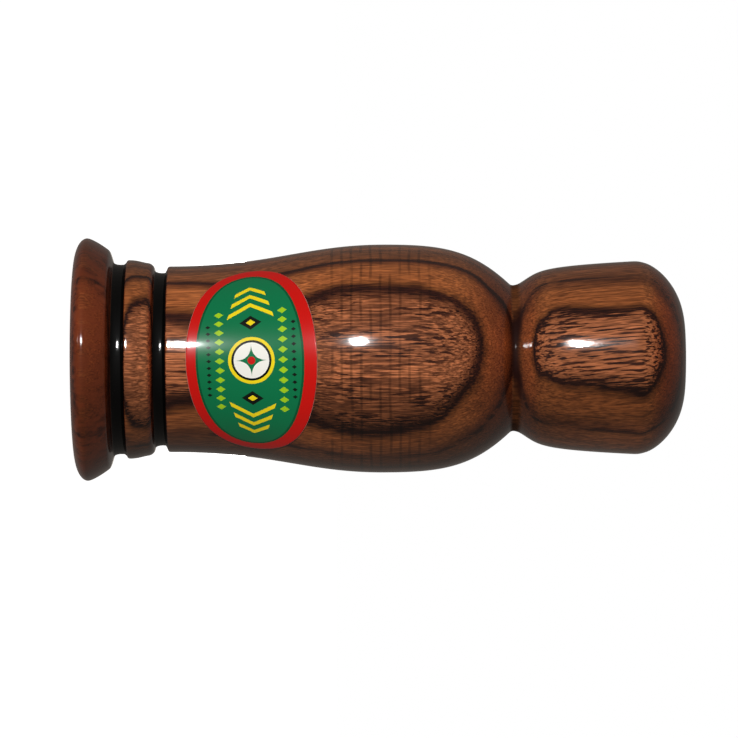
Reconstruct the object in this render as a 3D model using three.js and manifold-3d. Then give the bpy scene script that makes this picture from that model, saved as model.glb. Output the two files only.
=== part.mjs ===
// A closed-reed predator call: a turned hardwood body with an oval sticker, and a plastic reed unit
// plugged into its bore from the bell.
// Sizes are in millimetres. The call stands on its bell: its axis is +Z, the face of the bell lies at
// height 0, the mouthpiece is at the top and the sticker looks along -Y.

import * as THREE from "three";
import { mergeVertices } from "three/addons/utils/BufferGeometryUtils.js";
import Module from "manifold-3d";

const wasm = await Module();
wasm.setup();

// The bell. Radii are measured from the call's axis, lengths along it.
const bellRadius = 19.05;
const bellFaceRadius = 15.3;
const bellMouthRadius = 13.5;
const bellLipHeight = 1.95;
const bellBackLength = 3.6;
const bellBackRadius = 17.15;

// The two dark grooves and the bead between them. The gouge leaves a slope on the bell side of each
// groove and a square wall on the mouth side.
const firstGrooveWidth = 2.6;
const firstGrooveRadius = 14.87;
const beadRadius = 15.6;
const beadTaper = 0.45;
const beadLength = 4.4;
const beadShoulder = 1.3;
const secondGrooveWidth = 2;
const secondGrooveRadius = 13.54;
const grooveSlope = 0.45;

// The swelling barrel, the lanyard neck and the mouthpiece.
const barrelEndRadius = 14.58;
const edgeRound = 0.35;
const barrelRise = 33.8;
const bellyRadius = 17.9;
const bellyFall = 20.35;
const neckRadius = 11.45;
const neckRound = 0.55;
const neckSlopeAngle = 43;
const mouthpieceFlareAngle = 32;
const mouthpieceLength = 19.7;
const mouthpieceRadius = 15.2;
const domeHeight = 7.15;
const mouthEdgeRound = 1.15;

// The bore, from the bell up.
const throatHeight = 21.5;
const seatRadius = 7.9375;
const seatLength = 28.5;
const chamberRadius = 6.75;
const chamberLength = 30;
const airHoleRadius = 4.7625;
const drillPointAngle = 59;

// The sticker: an oval, measured flat.
const labelLength = 20.4;
const labelWidth = 34;
const labelThickness = 0.12;
const labelAboveBarrelEnd = 13.2;
const labelTilt = 2.6;

// The reed unit.
const collarLength = 16;
const collarWall = 2.4;
const collarClearance = 0.18;
const collarChamfer = 0.6;
const ringSection = 1.5;
const ringClearance = 0.1;
const ringInset = 3.2;
const troughClearance = 0.15;
const troughLength = 44;
const railHeight = 0.4;
const channelWidth = 5;
const channelDepth = 3.6;
const channelTipWidth = 3.4;
const channelTipDepth = 1.9;
const channelEndInset = 6;
const channelFloorRound = 1.5;
const channelEndRound = 1.7;
const noseRound = 4.2;
const reedWidth = 8;
const reedThickness = 0.25;
const reedHeelInset = 2;
const reedTipInset = 3.6;
const reedTipLift = 1.1;
const reedPlay = 0.15;
const wedgeTaper = 0.35;
const wedgeFrontInset = 0.6;

// Gaps that keep neighbours apart where they seat, and how far a cut starts outside what it cuts.
const seatGap = 0.1;
const labelGap = 0.1;
const cutStart = 1;

// Facets round the axis.
const barrelFacets = 56;
const collarFacets = 40;
const ringFacets = 8;

// A rounded end stops short of a full quarter turn, so that it ends in a narrow edge.
const roundedEnd = THREE.MathUtils.degToRad(82);

const radians = THREE.MathUtils.degToRad;

// The outline of a turned piece, as points of (radius, height) added one stretch at a time.
class Outline {
  constructor(radius, height) {
    this.points = [new THREE.Vector2(radius, height)];
  }

  get end() {
    return this.points[this.points.length - 1];
  }

  line(radius, height) {
    this.points.push(new THREE.Vector2(radius, height));
    return this;
  }

  close() {
    this.points.push(this.points[0].clone());
    return this;
  }

  // A quarter of an ellipse, leaving along the axis or across it.
  quarter(radius, height, leaves, steps) {
    const { x, y } = this.end;
    for (let step = 1; step <= steps; step += 1) {
      const angle = (step / steps) * (Math.PI / 2);
      const early = Math.sin(angle);
      const late = 1 - Math.cos(angle);
      const across = leaves === "along" ? late : early;
      const along = leaves === "along" ? early : late;
      this.line(x + (radius - x) * across, y + (height - y) * along);
    }
    return this;
  }

  // A smooth sweep. Each angle says how far the outline opens from the axis there, in degrees, and
  // each pull how long the outline holds that angle, as a share of the sweep's height.
  sweep(radius, height, leave, arrive, steps) {
    const start = this.end.clone();
    const finish = new THREE.Vector2(radius, height);
    const rise = height - start.y;
    const handle = ({ angle, pull }) =>
      new THREE.Vector2(Math.tan(radians(angle)), 1).multiplyScalar(pull * rise);
    const curve = new THREE.CubicBezierCurve(
      start,
      start.clone().add(handle(leave)),
      finish.clone().sub(handle(arrive)),
      finish,
    );
    this.points.push(...curve.getPoints(steps).slice(1));
    return this;
  }
}

// Turns a closed outline about +Z.
function turn(outline, facets) {
  const geometry = new THREE.LatheGeometry(outline.points, facets);
  geometry.rotateX(Math.PI / 2);
  return geometry;
}

function toSolid(geometry) {
  const bare = geometry.clone();
  bare.deleteAttribute("normal");
  bare.deleteAttribute("uv");
  const merged = mergeVertices(bare);
  return new wasm.Manifold(
    new wasm.Mesh({
      numProp: 3,
      vertProperties: merged.attributes.position.array,
      triVerts: Uint32Array.from(merged.index.array),
    }),
  );
}

function fromSolid(solid) {
  const mesh = solid.getMesh();
  const geometry = new THREE.BufferGeometry();
  geometry.setAttribute("position", new THREE.BufferAttribute(mesh.vertProperties, 3));
  geometry.setIndex(new THREE.BufferAttribute(mesh.triVerts, 1));
  return geometry;
}

// A closed body through a row of sections, each a ring of as many points, counter-clockwise when
// seen from the last section back to the first.
function loft(sections) {
  const count = sections[0].length;
  const positions = sections.flat().flatMap((point) => point.toArray());
  const indices = [];
  for (let row = 0; row + 1 < sections.length; row += 1) {
    for (let column = 0; column < count; column += 1) {
      const here = row * count + column;
      const beside = row * count + ((column + 1) % count);
      indices.push(here, beside, beside + count, here, beside + count, here + count);
    }
  }
  const last = (sections.length - 1) * count;
  for (let column = 1; column + 1 < count; column += 1) {
    indices.push(0, column + 1, column);
    indices.push(last, last + column, last + column + 1);
  }
  const geometry = new THREE.BufferGeometry();
  geometry.setAttribute("position", new THREE.Float32BufferAttribute(positions, 3));
  geometry.setIndex(indices);
  return geometry;
}

// The outside of the barrel, from the face of the bell up to the rim of the mouth hole.
function barrelOutside() {
  const level = { angle: 0, pull: 0.4 };
  const outline = new Outline(bellMouthRadius, 0);
  outline.line(bellFaceRadius, 0);
  outline.quarter(bellRadius, bellLipHeight, "across", 6);

  const bellBack = bellLipHeight + bellBackLength;
  outline.sweep(bellBackRadius, bellBack, { angle: 0, pull: 0.15 }, { angle: -36, pull: 0.45 }, 5);

  const beadStart = bellBack + firstGrooveWidth;
  outline.line(firstGrooveRadius + grooveSlope, bellBack + edgeRound);
  outline.quarter(firstGrooveRadius, beadStart - 1.5 * edgeRound, "across", 3);
  outline.line(beadRadius - edgeRound, beadStart);
  outline.quarter(beadRadius, beadStart + edgeRound, "across", 2);

  const beadEnd = beadStart + beadLength;
  const beadCorner = beadRadius - beadTaper;
  outline.sweep(beadCorner, beadEnd - beadShoulder, level, { angle: -13, pull: 0.4 }, 3);
  outline.quarter(secondGrooveRadius + grooveSlope, beadEnd, "along", 4);

  const barrelStart = beadEnd + secondGrooveWidth;
  outline.quarter(secondGrooveRadius, barrelStart - 1.5 * edgeRound, "across", 3);
  outline.line(barrelEndRadius - edgeRound, barrelStart);
  outline.quarter(barrelEndRadius, barrelStart + edgeRound, "across", 2);

  const belly = barrelStart + barrelRise;
  outline.sweep(bellyRadius, belly, { angle: 0, pull: 0.47 }, { angle: 0, pull: 0.365 }, 12);

  const neck = belly + bellyFall;
  const dip = { angle: -neckSlopeAngle, pull: 0.3 };
  outline.sweep(neckRadius + 0.4 * neckRound, neck - neckRound, { angle: 0, pull: 0.455 }, dip, 11);
  outline.sweep(neckRadius, neck, dip, level, 2);

  const corner = neck + mouthpieceLength;
  const flare = { angle: mouthpieceFlareAngle, pull: 0.175 };
  outline.sweep(neckRadius + 0.6 * neckRound, neck + 2 * neckRound, level, flare, 2);
  outline.sweep(mouthpieceRadius, corner, flare, { angle: 3, pull: 0.89 }, 10);

  const rimHeight = corner + domeHeight;
  const rimRadius = airHoleRadius + mouthEdgeRound;
  outline.sweep(rimRadius, rimHeight, { angle: -12, pull: 0.36 }, { angle: -84.4, pull: 0.085 }, 8);
  outline.quarter(airHoleRadius, rimHeight - mouthEdgeRound, "across", 3);
  return outline;
}

const outside = barrelOutside();
const barrelEndHeight =
  bellLipHeight + bellBackLength + firstGrooveWidth + beadLength + secondGrooveWidth;
const seatTop = throatHeight + seatLength;
const chamberTop = seatTop + chamberLength;

// The barrel's radius at a height on its straight or swelling stretch.
function barrelRadiusAt(height) {
  const { points } = outside;
  const above = points.findIndex((point) => point.y > height && point.y > barrelEndHeight);
  const low = points[above - 1];
  const high = points[above];
  return THREE.MathUtils.mapLinear(height, low.y, high.y, low.x, high.x);
}

// One turned and bored piece of wood. The bore runs from the mouth hole through the reed's chamber
// and the collar's seat to the flare of the bell.
function barrel() {
  const drillPoint = (chamberRadius - airHoleRadius) / Math.tan(radians(drillPointAngle));
  const outline = barrelOutside();
  outline.line(airHoleRadius, chamberTop + drillPoint);
  outline.line(chamberRadius, chamberTop);
  outline.line(chamberRadius, seatTop);
  outline.line(seatRadius, seatTop);
  outline.line(seatRadius, throatHeight);
  outline.sweep(bellMouthRadius, 0, { angle: 0, pull: 0.5 }, { angle: -32, pull: 0.35 }, 7);
  return turn(outline, barrelFacets);
}

// A printed vinyl oval wrapped round the barrel: two skins of the same rings, joined at the rim.
function label() {
  const rings = 8;
  const spokes = 44;
  const middle = barrelEndHeight + labelAboveBarrelEnd;
  const wrapRadius = barrelRadiusAt(middle);
  const tilt = radians(labelTilt);

  const wrap = (share, angle, lift) => {
    const across = (labelWidth / 2) * share * Math.cos(angle);
    const along = (labelLength / 2) * share * Math.sin(angle);
    const height = middle + along * Math.cos(tilt) + across * Math.sin(tilt);
    const turned = (across * Math.cos(tilt) - along * Math.sin(tilt)) / wrapRadius;
    const radius = barrelRadiusAt(height) + labelGap + lift;
    return [radius * Math.sin(turned), -radius * Math.cos(turned), height];
  };

  const positions = [];
  const skin = (lift) => {
    const first = positions.length / 3;
    positions.push(...wrap(0, 0, lift));
    for (let ring = 1; ring <= rings; ring += 1) {
      for (let spoke = 0; spoke < spokes; spoke += 1) {
        positions.push(...wrap(ring / rings, (spoke / spokes) * 2 * Math.PI, lift));
      }
    }
    return first;
  };
  const outer = skin(labelThickness);
  const inner = skin(0);

  const indices = [];
  const face = (a, b, c) => {
    indices.push(outer + a, outer + b, outer + c);
    indices.push(inner + a, inner + c, inner + b);
  };
  for (let spoke = 0; spoke < spokes; spoke += 1) {
    const next = (spoke + 1) % spokes;
    face(0, 1 + spoke, 1 + next);
    for (let ring = 0; ring + 1 < rings; ring += 1) {
      const here = 1 + ring * spokes;
      face(here + spoke, here + spokes + spoke, here + spokes + next);
      face(here + spoke, here + spokes + next, here + next);
    }
    const rim = 1 + (rings - 1) * spokes;
    indices.push(outer + rim + spoke, inner + rim + spoke, inner + rim + next);
    indices.push(outer + rim + spoke, inner + rim + next, outer + rim + next);
  }
  const geometry = new THREE.BufferGeometry();
  geometry.setAttribute("position", new THREE.Float32BufferAttribute(positions, 3));
  geometry.setIndex(indices);
  return geometry;
}

// The collar plugs the seat: its front face stops at the step below the chamber.
const collarFront = seatTop - seatGap;
const collarHeel = collarFront - collarLength;
const collarRadius = seatRadius - collarClearance;
const collarBoreRadius = collarRadius - collarWall;
const ringOuterRadius = seatRadius - ringClearance;
const ringMiddleRadius = ringOuterRadius - ringSection / 2;
const ringHeights = {
  rear: collarHeel + ringInset,
  front: collarFront - ringInset,
};

function collar() {
  const floorRadius = ringOuterRadius - ringSection - ringClearance;
  const halfGroove = ringSection / 2 + ringClearance;
  const outline = new Outline(collarBoreRadius + collarChamfer / 2, collarHeel);
  outline.line(collarRadius - collarChamfer, collarHeel);
  outline.line(collarRadius, collarHeel + collarChamfer);
  for (const height of Object.values(ringHeights)) {
    outline.line(collarRadius, height - halfGroove);
    outline.line(floorRadius, height - halfGroove);
    outline.line(floorRadius, height + halfGroove);
    outline.line(collarRadius, height + halfGroove);
  }
  outline.line(collarRadius, collarFront - collarChamfer);
  outline.line(collarRadius - collarChamfer, collarFront);
  outline.line(collarBoreRadius + collarChamfer / 2, collarFront);
  outline.line(collarBoreRadius, collarFront - collarChamfer / 2);
  outline.line(collarBoreRadius, collarHeel + collarChamfer / 2);
  return turn(outline.close(), collarFacets);
}

function ring(height) {
  const geometry = new THREE.TorusGeometry(ringMiddleRadius, ringSection / 2, ringFacets, collarFacets);
  geometry.translate(0, 0, height);
  return geometry;
}

// The tone trough: a half-round bar with flat rails and a rounded nose. The channel between the
// rails is cut from the heel and gets narrower and shallower toward the nose.
const troughRadius = collarBoreRadius - troughClearance;
const troughHeel = collarHeel + troughClearance;
const troughNose = troughHeel + troughLength;

// Half a disc, flat along y = level, with its round side toward +Y or, when turned, toward -Y.
function halfRound(radius, level, height, side) {
  const steps = 14;
  const start = Math.asin(level / radius);
  const section = [];
  for (let step = 0; step <= steps; step += 1) {
    const angle = start + (Math.PI - 2 * start) * (step / steps);
    const point = new THREE.Vector3(radius * Math.cos(angle), radius * Math.sin(angle), 0);
    section.push(point.multiplyScalar(side).setZ(height));
  }
  return section;
}

function troughBar() {
  const noseSteps = 6;
  const sections = [halfRound(troughRadius, railHeight, troughHeel, 1)];
  for (let step = 0; step <= noseSteps; step += 1) {
    const angle = (step / noseSteps) * roundedEnd;
    const radius = troughRadius - noseRound * (1 - Math.cos(angle));
    sections.push(halfRound(radius, railHeight, troughNose - noseRound * (1 - Math.sin(angle)), 1));
  }
  return loft(sections);
}

// A slot section with a rounded floor, open above the rails.
function slot(width, depth, height) {
  const steps = 8;
  const half = width / 2;
  const floor = railHeight + depth;
  const section = [new THREE.Vector3(half, railHeight - cutStart, height)];
  for (let step = 0; step <= steps; step += 1) {
    const angle = (step / steps) * Math.PI;
    const rounding = channelFloorRound * (1 - Math.sin(angle));
    section.push(new THREE.Vector3(half * Math.cos(angle), floor - rounding, height));
  }
  section.push(new THREE.Vector3(-half, railHeight - cutStart, height));
  return section;
}

function trough() {
  const channelEnd = troughNose - channelEndInset;
  const endSteps = 5;
  const sections = [
    slot(channelWidth, channelDepth, troughHeel - cutStart),
    slot(channelWidth, channelDepth, collarFront),
  ];
  for (let step = 0; step <= endSteps; step += 1) {
    const angle = (step / endSteps) * roundedEnd;
    const height = channelEnd - channelEndRound * (1 - Math.sin(angle));
    sections.push(slot(channelTipWidth * Math.cos(angle), channelTipDepth, height));
  }
  return fromSolid(toSolid(troughBar()).subtract(toSolid(loft(sections))));
}

// The reed: flat where it is clamped, then bent away from the rails to its lifted tip.
const reedTop = railHeight - reedPlay;
const reedHeel = collarHeel + reedHeelInset;
const reedTip = troughNose - reedTipInset;

function reed() {
  const lift = (height) => {
    const share = Math.max(0, (height - collarFront) / (reedTip - collarFront));
    return reedTipLift * share * share;
  };
  const strip = (height, halfWidth) => {
    const top = reedTop - lift(height);
    return [
      new THREE.Vector3(halfWidth, top - reedThickness, height),
      new THREE.Vector3(halfWidth, top, height),
      new THREE.Vector3(-halfWidth, top, height),
      new THREE.Vector3(-halfWidth, top - reedThickness, height),
    ];
  };
  const half = reedWidth / 2;
  const sections = [strip(reedHeel, half), strip(collarFront, half)];
  const roundStart = reedTip - half;
  const bendSteps = 8;
  for (let step = 1; step <= bendSteps; step += 1) {
    const height = THREE.MathUtils.lerp(collarFront, roundStart, step / bendSteps);
    sections.push(strip(height, half));
  }
  const tipSteps = 8;
  for (let step = 1; step <= tipSteps; step += 1) {
    const angle = (step / tipSteps) * roundedEnd;
    sections.push(strip(roundStart + half * Math.sin(angle), half * Math.cos(angle)));
  }
  return loft(sections);
}

// The wedge fills the other half of the collar's bore behind the reed, thicker at its heel.
const wedgeTop = reedTop - reedThickness - reedPlay;

function wedge() {
  const front = collarFront - wedgeFrontInset;
  const level = -wedgeTop;
  return loft([
    halfRound(troughRadius - wedgeTaper, level, troughHeel, -1),
    halfRound(troughRadius, level, troughHeel + wedgeTaper, -1),
    halfRound(troughRadius - wedgeTaper, level, front - wedgeTaper, -1),
    halfRound(troughRadius - 2 * wedgeTaper, level, front, -1),
  ]);
}

const lacqueredWalnut = new THREE.MeshStandardMaterial({ color: 0x6b3a22, roughness: 0.18 });
const printedVinyl = new THREE.MeshStandardMaterial({ color: 0x0f6a3c, roughness: 0.25 });
const blackAcetal = new THREE.MeshStandardMaterial({ color: 0x1b1b1d, roughness: 0.45 });
const whiteAcetal = new THREE.MeshStandardMaterial({ color: 0xe6e3da, roughness: 0.4 });
const polyesterFilm = new THREE.MeshStandardMaterial({ color: 0xd9dcd8, roughness: 0.15 });
const nitrileRubber = new THREE.MeshStandardMaterial({ color: 0x141414, roughness: 0.7 });

function piece(name, geometry, material) {
  const mesh = new THREE.Mesh(geometry, material);
  mesh.name = name;
  return mesh;
}

const call = new THREE.Group();
call.add(
  piece("barrel", barrel(), lacqueredWalnut),
  piece("label", label(), printedVinyl),
);

const reedUnit = new THREE.Group();
reedUnit.add(
  piece("reed_collar", collar(), blackAcetal),
  piece("front_o_ring", ring(ringHeights.front), nitrileRubber),
  piece("rear_o_ring", ring(ringHeights.rear), nitrileRubber),
  piece("tone_trough", trough(), whiteAcetal),
  piece("reed", reed(), polyesterFilm),
  piece("reed_wedge", wedge(), blackAcetal),
);
call.add(reedUnit);

export default call;
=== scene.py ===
# A turned hardwood predator call with an oval sticker and a plastic reed unit in its bore, dressed
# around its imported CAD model. Shapes are worked out in millimetres and become metres in their mesh.

import math

import bpy
import numpy as np
from mathutils import Matrix, Vector


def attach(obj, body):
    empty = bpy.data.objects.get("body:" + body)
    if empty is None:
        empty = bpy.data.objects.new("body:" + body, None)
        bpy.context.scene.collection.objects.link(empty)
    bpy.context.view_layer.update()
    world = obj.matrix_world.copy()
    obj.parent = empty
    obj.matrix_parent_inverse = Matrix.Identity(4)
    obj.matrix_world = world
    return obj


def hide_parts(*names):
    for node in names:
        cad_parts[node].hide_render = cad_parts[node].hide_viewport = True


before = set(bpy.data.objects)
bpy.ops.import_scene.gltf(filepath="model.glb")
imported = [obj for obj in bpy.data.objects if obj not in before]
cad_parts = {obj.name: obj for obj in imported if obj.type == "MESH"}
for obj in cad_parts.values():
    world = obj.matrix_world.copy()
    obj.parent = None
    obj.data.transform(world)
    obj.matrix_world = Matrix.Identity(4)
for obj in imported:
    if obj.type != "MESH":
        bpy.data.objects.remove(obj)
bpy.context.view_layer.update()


# The barrel: one piece of streaky walnut, turned on a lathe and bored from the bell. Its two grooves
# are stained black, its edges are broken with sandpaper, and the whole is dipped in clear lacquer.
bell_radius = 19.05
bell_face_radius = 15.3
bell_mouth_radius = 13.5
bell_lip_height = 1.95
bell_back_length = 3.6
bell_back_radius = 17.15
first_groove_width = 2.6
first_groove_radius = 14.87
bead_radius = 15.6
bead_taper = 0.45
bead_length = 4.4
bead_shoulder = 1.3
second_groove_width = 2.0
second_groove_radius = 13.54
groove_slope = 0.45
groove_rise = 0.02
barrel_end_radius = 14.58
edge_round = 0.35
barrel_rise = 33.8
belly_radius = 17.9
belly_fall = 20.35
neck_radius = 11.45
neck_round = 0.55
neck_slope_angle = 43
mouthpiece_flare_angle = 32
mouthpiece_length = 19.7
mouthpiece_radius = 15.2
dome_height = 7.15
mouth_edge_round = 1.15
throat_height = 21.5
seat_radius = 7.9375
seat_top = 50.0
chamber_radius = 6.75
chamber_top = 80.0
air_hole_radius = 4.7625
drill_point_angle = 59


class Outline:
    """The outline of a turned piece: rows of (radius, height) in mm, added one stretch at a time."""

    def __init__(self, radius, height):
        self.rows = np.array([[radius, height]])

    def add(self, rows):
        self.rows = np.vstack([self.rows, rows])
        return self

    def line(self, radius, height):
        return self.add([[radius, height]])

    def quarter(self, radius, height, leaves, steps=16):
        """A quarter of an ellipse: the share of the way made early is the sine of the angle, and the
        share made late is one less its cosine. It leaves along the axis or across it."""
        angle = np.linspace(0, math.pi / 2, steps + 1)[1:]
        early, late = np.sin(angle), 1 - np.cos(angle)
        shares = np.stack([late, early] if leaves == "along" else [early, late], axis=1)
        return self.add(self.rows[-1] + ([radius, height] - self.rows[-1]) * shares)

    def sweep(self, radius, height, leave, arrive, steps=90):
        """A cubic curve between two points. Each end is (angle, pull): how far the outline opens from
        the axis there in degrees, and how long it holds that angle as a share of the height."""
        start, finish = self.rows[-1], np.array([radius, height])
        rise = height - start[1]
        out = start + np.array([math.tan(math.radians(leave[0])), 1]) * leave[1] * rise
        back = finish - np.array([math.tan(math.radians(arrive[0])), 1]) * arrive[1] * rise
        t = np.linspace(0, 1, steps + 1)[1:, None]
        s = 1 - t
        return self.add(s**3 * start + 3 * s**2 * t * out + 3 * s * t**2 * back + t**3 * finish)


def arc_lengths(rows):
    """How far along the outline each row lies, in mm."""
    steps = np.linalg.norm(np.diff(rows, axis=0), axis=1)
    return np.concatenate([[0], np.cumsum(steps)])


def sanded(rows, edge, step):
    """Walks a closed outline in even steps and takes for each point the mean of its neighbours,
    weighted by a bell curve as wide as the broken edge."""
    closed = np.vstack([rows, rows[:1]])
    length = arc_lengths(closed)
    even = np.linspace(0, length[-1], int(length[-1] / step), endpoint=False)
    walked = np.stack([np.interp(even, length, closed[:, k]) for k in (0, 1)], axis=1)
    reach = int(3 * edge / step)
    offsets = np.arange(-reach, reach + 1)
    weights = np.exp(-0.5 * (offsets * step / edge) ** 2)
    near = np.stack([np.roll(walked, shift, axis=0) for shift in offsets])
    return np.tensordot(weights / weights.sum(), near, axes=1)


def paced(rows, longest, sharpest):
    """Keeps the rows that the shape needs: a step is at most the longest length, which may differ
    from row to row, and turns by at most the sharpest angle."""
    ahead = np.roll(rows, -1, axis=0) - rows
    heading = np.arctan2(ahead[:, 1], ahead[:, 0])
    turn = np.abs((np.diff(heading, append=heading[:1]) + math.pi) % (2 * math.pi) - math.pi)
    spent = np.cumsum(np.linalg.norm(ahead, axis=1) / longest + turn / sharpest)
    wanted = np.linspace(0, spent[-1], int(spent[-1]), endpoint=False)
    return rows[np.unique(np.searchsorted(spent, wanted))]


def woven(rows, columns):
    """The faces that join each row of points to the next row: two corners on the row, then two on the
    next. The last column joins the first."""
    row, column = np.meshgrid(np.arange(rows), np.arange(columns), indexing="ij")
    here, above, beside = row * columns, (row + 1) * columns, (column + 1) % columns
    corners = [here + column, here + beside, above + beside, above + column]
    return np.stack(corners, axis=-1).reshape(-1, 4)


def turned(rows, columns):
    """Turns a closed outline about +Z: a point lies at (radius sin a, -radius cos a, height). Returns
    the points row by row and the faces between them. The last row joins the first."""
    angle = np.arange(columns) * 2 * math.pi / columns
    radius, height = rows[:, :1], rows[:, 1:]
    x, y = radius * np.sin(angle), -radius * np.cos(angle)
    points = np.stack([x, y, height + 0 * x], axis=-1).reshape(-1, 3)
    return points, woven(len(rows), columns) % len(points)


def solid(name, points, faces, crease=None):
    """A smooth mesh from points in mm and lists of corners, creased where it bends by more degrees."""
    mesh = bpy.data.meshes.new(name)
    mesh.from_pydata(points * 0.001, [], faces.tolist() if isinstance(faces, np.ndarray) else faces)
    mesh.polygons.foreach_set("use_smooth", np.ones(len(mesh.polygons), bool))
    if crease:
        mesh.set_sharp_from_angle(angle=math.radians(crease))
    mesh.update()
    piece = bpy.data.objects.new(name, mesh)
    bpy.context.scene.collection.objects.link(piece)
    return piece


def add_attribute(piece, name, values):
    """Gives each vertex a number or a vector that its material reads."""
    kind, field = ("FLOAT_VECTOR", "vector") if values.ndim == 2 else ("FLOAT", "value")
    attribute = piece.data.attributes.new(name, kind, "POINT")
    attribute.data.foreach_set(field, values.astype(np.float32).ravel())


bell_back = bell_lip_height + bell_back_length
bead_start = bell_back + first_groove_width
bead_end = bead_start + bead_length
barrel_start = bead_end + second_groove_width
belly = barrel_start + barrel_rise
neck = belly + belly_fall
corner = neck + mouthpiece_length
rim_height = corner + dome_height
rim_radius = air_hole_radius + mouth_edge_round
level = (0, 0.4)
dip = (-neck_slope_angle, 0.3)
flare = (mouthpiece_flare_angle, 0.175)
dome = (-17, 0.33)

outside = Outline(bell_mouth_radius, 0)
outside.line(bell_face_radius, 0)
outside.quarter(bell_radius, bell_lip_height, "across")
outside.sweep(bell_back_radius + 0.3, bell_back - 0.55, (0, 0.15), (-36, 0.45))
outside.sweep(bell_back_radius - 0.95, bell_back + 0.25, (-38, 0.5), (-72, 0.4), steps=12)
outside.line(first_groove_radius + groove_slope, bell_back + 0.5)
outside.quarter(first_groove_radius, bead_start - 0.95, "across")
outside.line(first_groove_radius + groove_rise, bead_start - 0.4)
outside.line(bead_radius - edge_round, bead_start)
outside.quarter(bead_radius, bead_start + edge_round, "across")
outside.sweep(bead_radius - bead_taper, bead_end - bead_shoulder, level, (-13, 0.4))
outside.quarter(second_groove_radius + groove_slope, bead_end, "along")
outside.quarter(second_groove_radius, barrel_start - 0.8, "across")
outside.line(second_groove_radius + groove_rise, barrel_start - 0.35)
outside.line(barrel_end_radius - edge_round, barrel_start)
outside.quarter(barrel_end_radius, barrel_start + edge_round, "across")
first_barrel_row = len(outside.rows)
outside.sweep(belly_radius, belly, (0, 0.47), (0, 0.365))
outside.sweep(neck_radius + 0.4 * neck_round, neck - neck_round, (0, 0.455), dip)
outside.sweep(neck_radius, neck, dip, level)
barrel_rows = outside.rows[first_barrel_row:]
outside.sweep(neck_radius + 0.6 * neck_round, neck + 2 * neck_round, level, flare)
outside.sweep(mouthpiece_radius - 0.06, corner - 1.0, flare, (3, 0.86))
outside.sweep(mouthpiece_radius - 0.34, corner + 1.1, (3, 0.4), (-17, 0.4), steps=16)
outside.sweep(rim_radius, rim_height, dome, (-84.4, 0.085))
front_rows = outside.rows
outside.quarter(air_hole_radius, rim_height - mouth_edge_round, "across")
outside_length = arc_lengths(outside.rows)[-1]

drill_point = (chamber_radius - air_hole_radius) / math.tan(math.radians(drill_point_angle))
outside.line(air_hole_radius, chamber_top + drill_point)
outside.line(chamber_radius, chamber_top)
outside.line(chamber_radius, seat_top)
outside.line(seat_radius, seat_top)
outside.line(seat_radius, throat_height)
outside.sweep(bell_mouth_radius, 0, (0, 0.5), (-32, 0.35))

sanding_step = 0.02
outside_step = 0.6
bore_step = 1.6
barrel_columns = 160
barrel_outline = sanded(outside.rows, edge=0.09, step=sanding_step)
walked = np.arange(len(barrel_outline)) * sanding_step
step_limit = np.where(walked < outside_length, outside_step, bore_step)
barrel_outline = paced(barrel_outline, step_limit, sharpest=0.085)
barrel_points, barrel_faces = turned(barrel_outline, barrel_columns)
barrel = solid("turned_barrel", barrel_points, barrel_faces)

# The lie of the wood, for its figure. The tree's year rings bend backward to both sides of the front,
# all alike and one gap apart. Each row is one place where a ring comes to the surface: the height, the
# ring (0 is the first and -1 the second), and how far across it shows to the left and to the right.
ring_gap = 2.2
ring_bend = 0.024
ring_shows = np.array([
    (2, -1, -13.4, 12.5),
    (4.8, -1, -11.1, 11),
    (8.6, 0, -7.4, 9.1),
    (12.4, 0, -7.8, 9.3),
    (14.8, 0, -6.4, 6.6),
    (18, 0, -6.4, 6.4),
    (38.5, 0, -9.6, 9.9),
    (43, 0, -10.6, 11.1),
    (47, 0, -10.5, 11.4),
    (52, 0, -10.5, 10.7),
    (56, 0, -9.8, 9.7),
    (58, 0, -9.2, 8.3),
    (59.8, 0, -8.4, 6),
    (61.5, 0, -6.9, 3.6),
    (63.1, 0, -4.9, 1.7),
    (65, -1, -10.3, 9.4),
    (66.4, -1, -9.4, 7),
    (67.6, -1, -7.6, 4.5),
    (68.8, -1, -5, 2),
    (70, -1, -7, 6.2),
    (71.5, -1, -10.6, 9.4),
    (72.7, 0, -3.4, 0.8),
    (73.4, 0, -6.3, 2.5),
    (75.3, 0, -7.3, 3.6),
    (79, 0, -7.2, 3.8),
    (83, 0, -7.3, 4.6),
    (87, 0, -7.2, 5.1),
    (88.8, 0, -7, 5),
    (90.4, 0, -5.8, 3),
    (92, -1, -10, 9.6),
    (94.5, -1, -5, 5),
])
shown_at, shown_ring, shown_left, shown_right = ring_shows.T
surface = np.interp(shown_at, front_rows[:, 1], front_rows[:, 0])
left_depth = np.sqrt(surface**2 - shown_left**2) + ring_bend * shown_left**2
right_depth = np.sqrt(surface**2 - shown_right**2) + ring_bend * shown_right**2
ring_twist = (right_depth - left_depth) / (shown_right - shown_left)
first_ring = left_depth - ring_twist * shown_left - shown_ring * ring_gap


def year_rings(points):
    """How many years before the first ring a point grew, as a number that falls toward the back: its
    depth toward the front, less the first ring's depth at that height and place across, divided by
    the gap between rings. Near the first ring it changes faster, which thins the dark line."""
    x, depth, height = points[:, 0], -points[:, 1], points[:, 2]
    near = height + np.linspace(-1, 1, 5)[:, None]
    first = np.interp(near, shown_at, first_ring).mean(axis=0)
    twist = np.interp(near, shown_at, ring_twist).mean(axis=0)
    years = (depth - first - twist * x + ring_bend * x**2) / ring_gap
    thinner_above = [50, 60, 68, 72]
    sharper = np.interp(height, thinner_above, [1.2, 1.8, 2.0, 2.0])
    power = np.interp(height, thinner_above, [1, 0.8, 0.8, 0.72])
    between = -np.abs(years) ** power
    return np.where(years > 0, years * sharper, np.where(years > -1, between, years))


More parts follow.
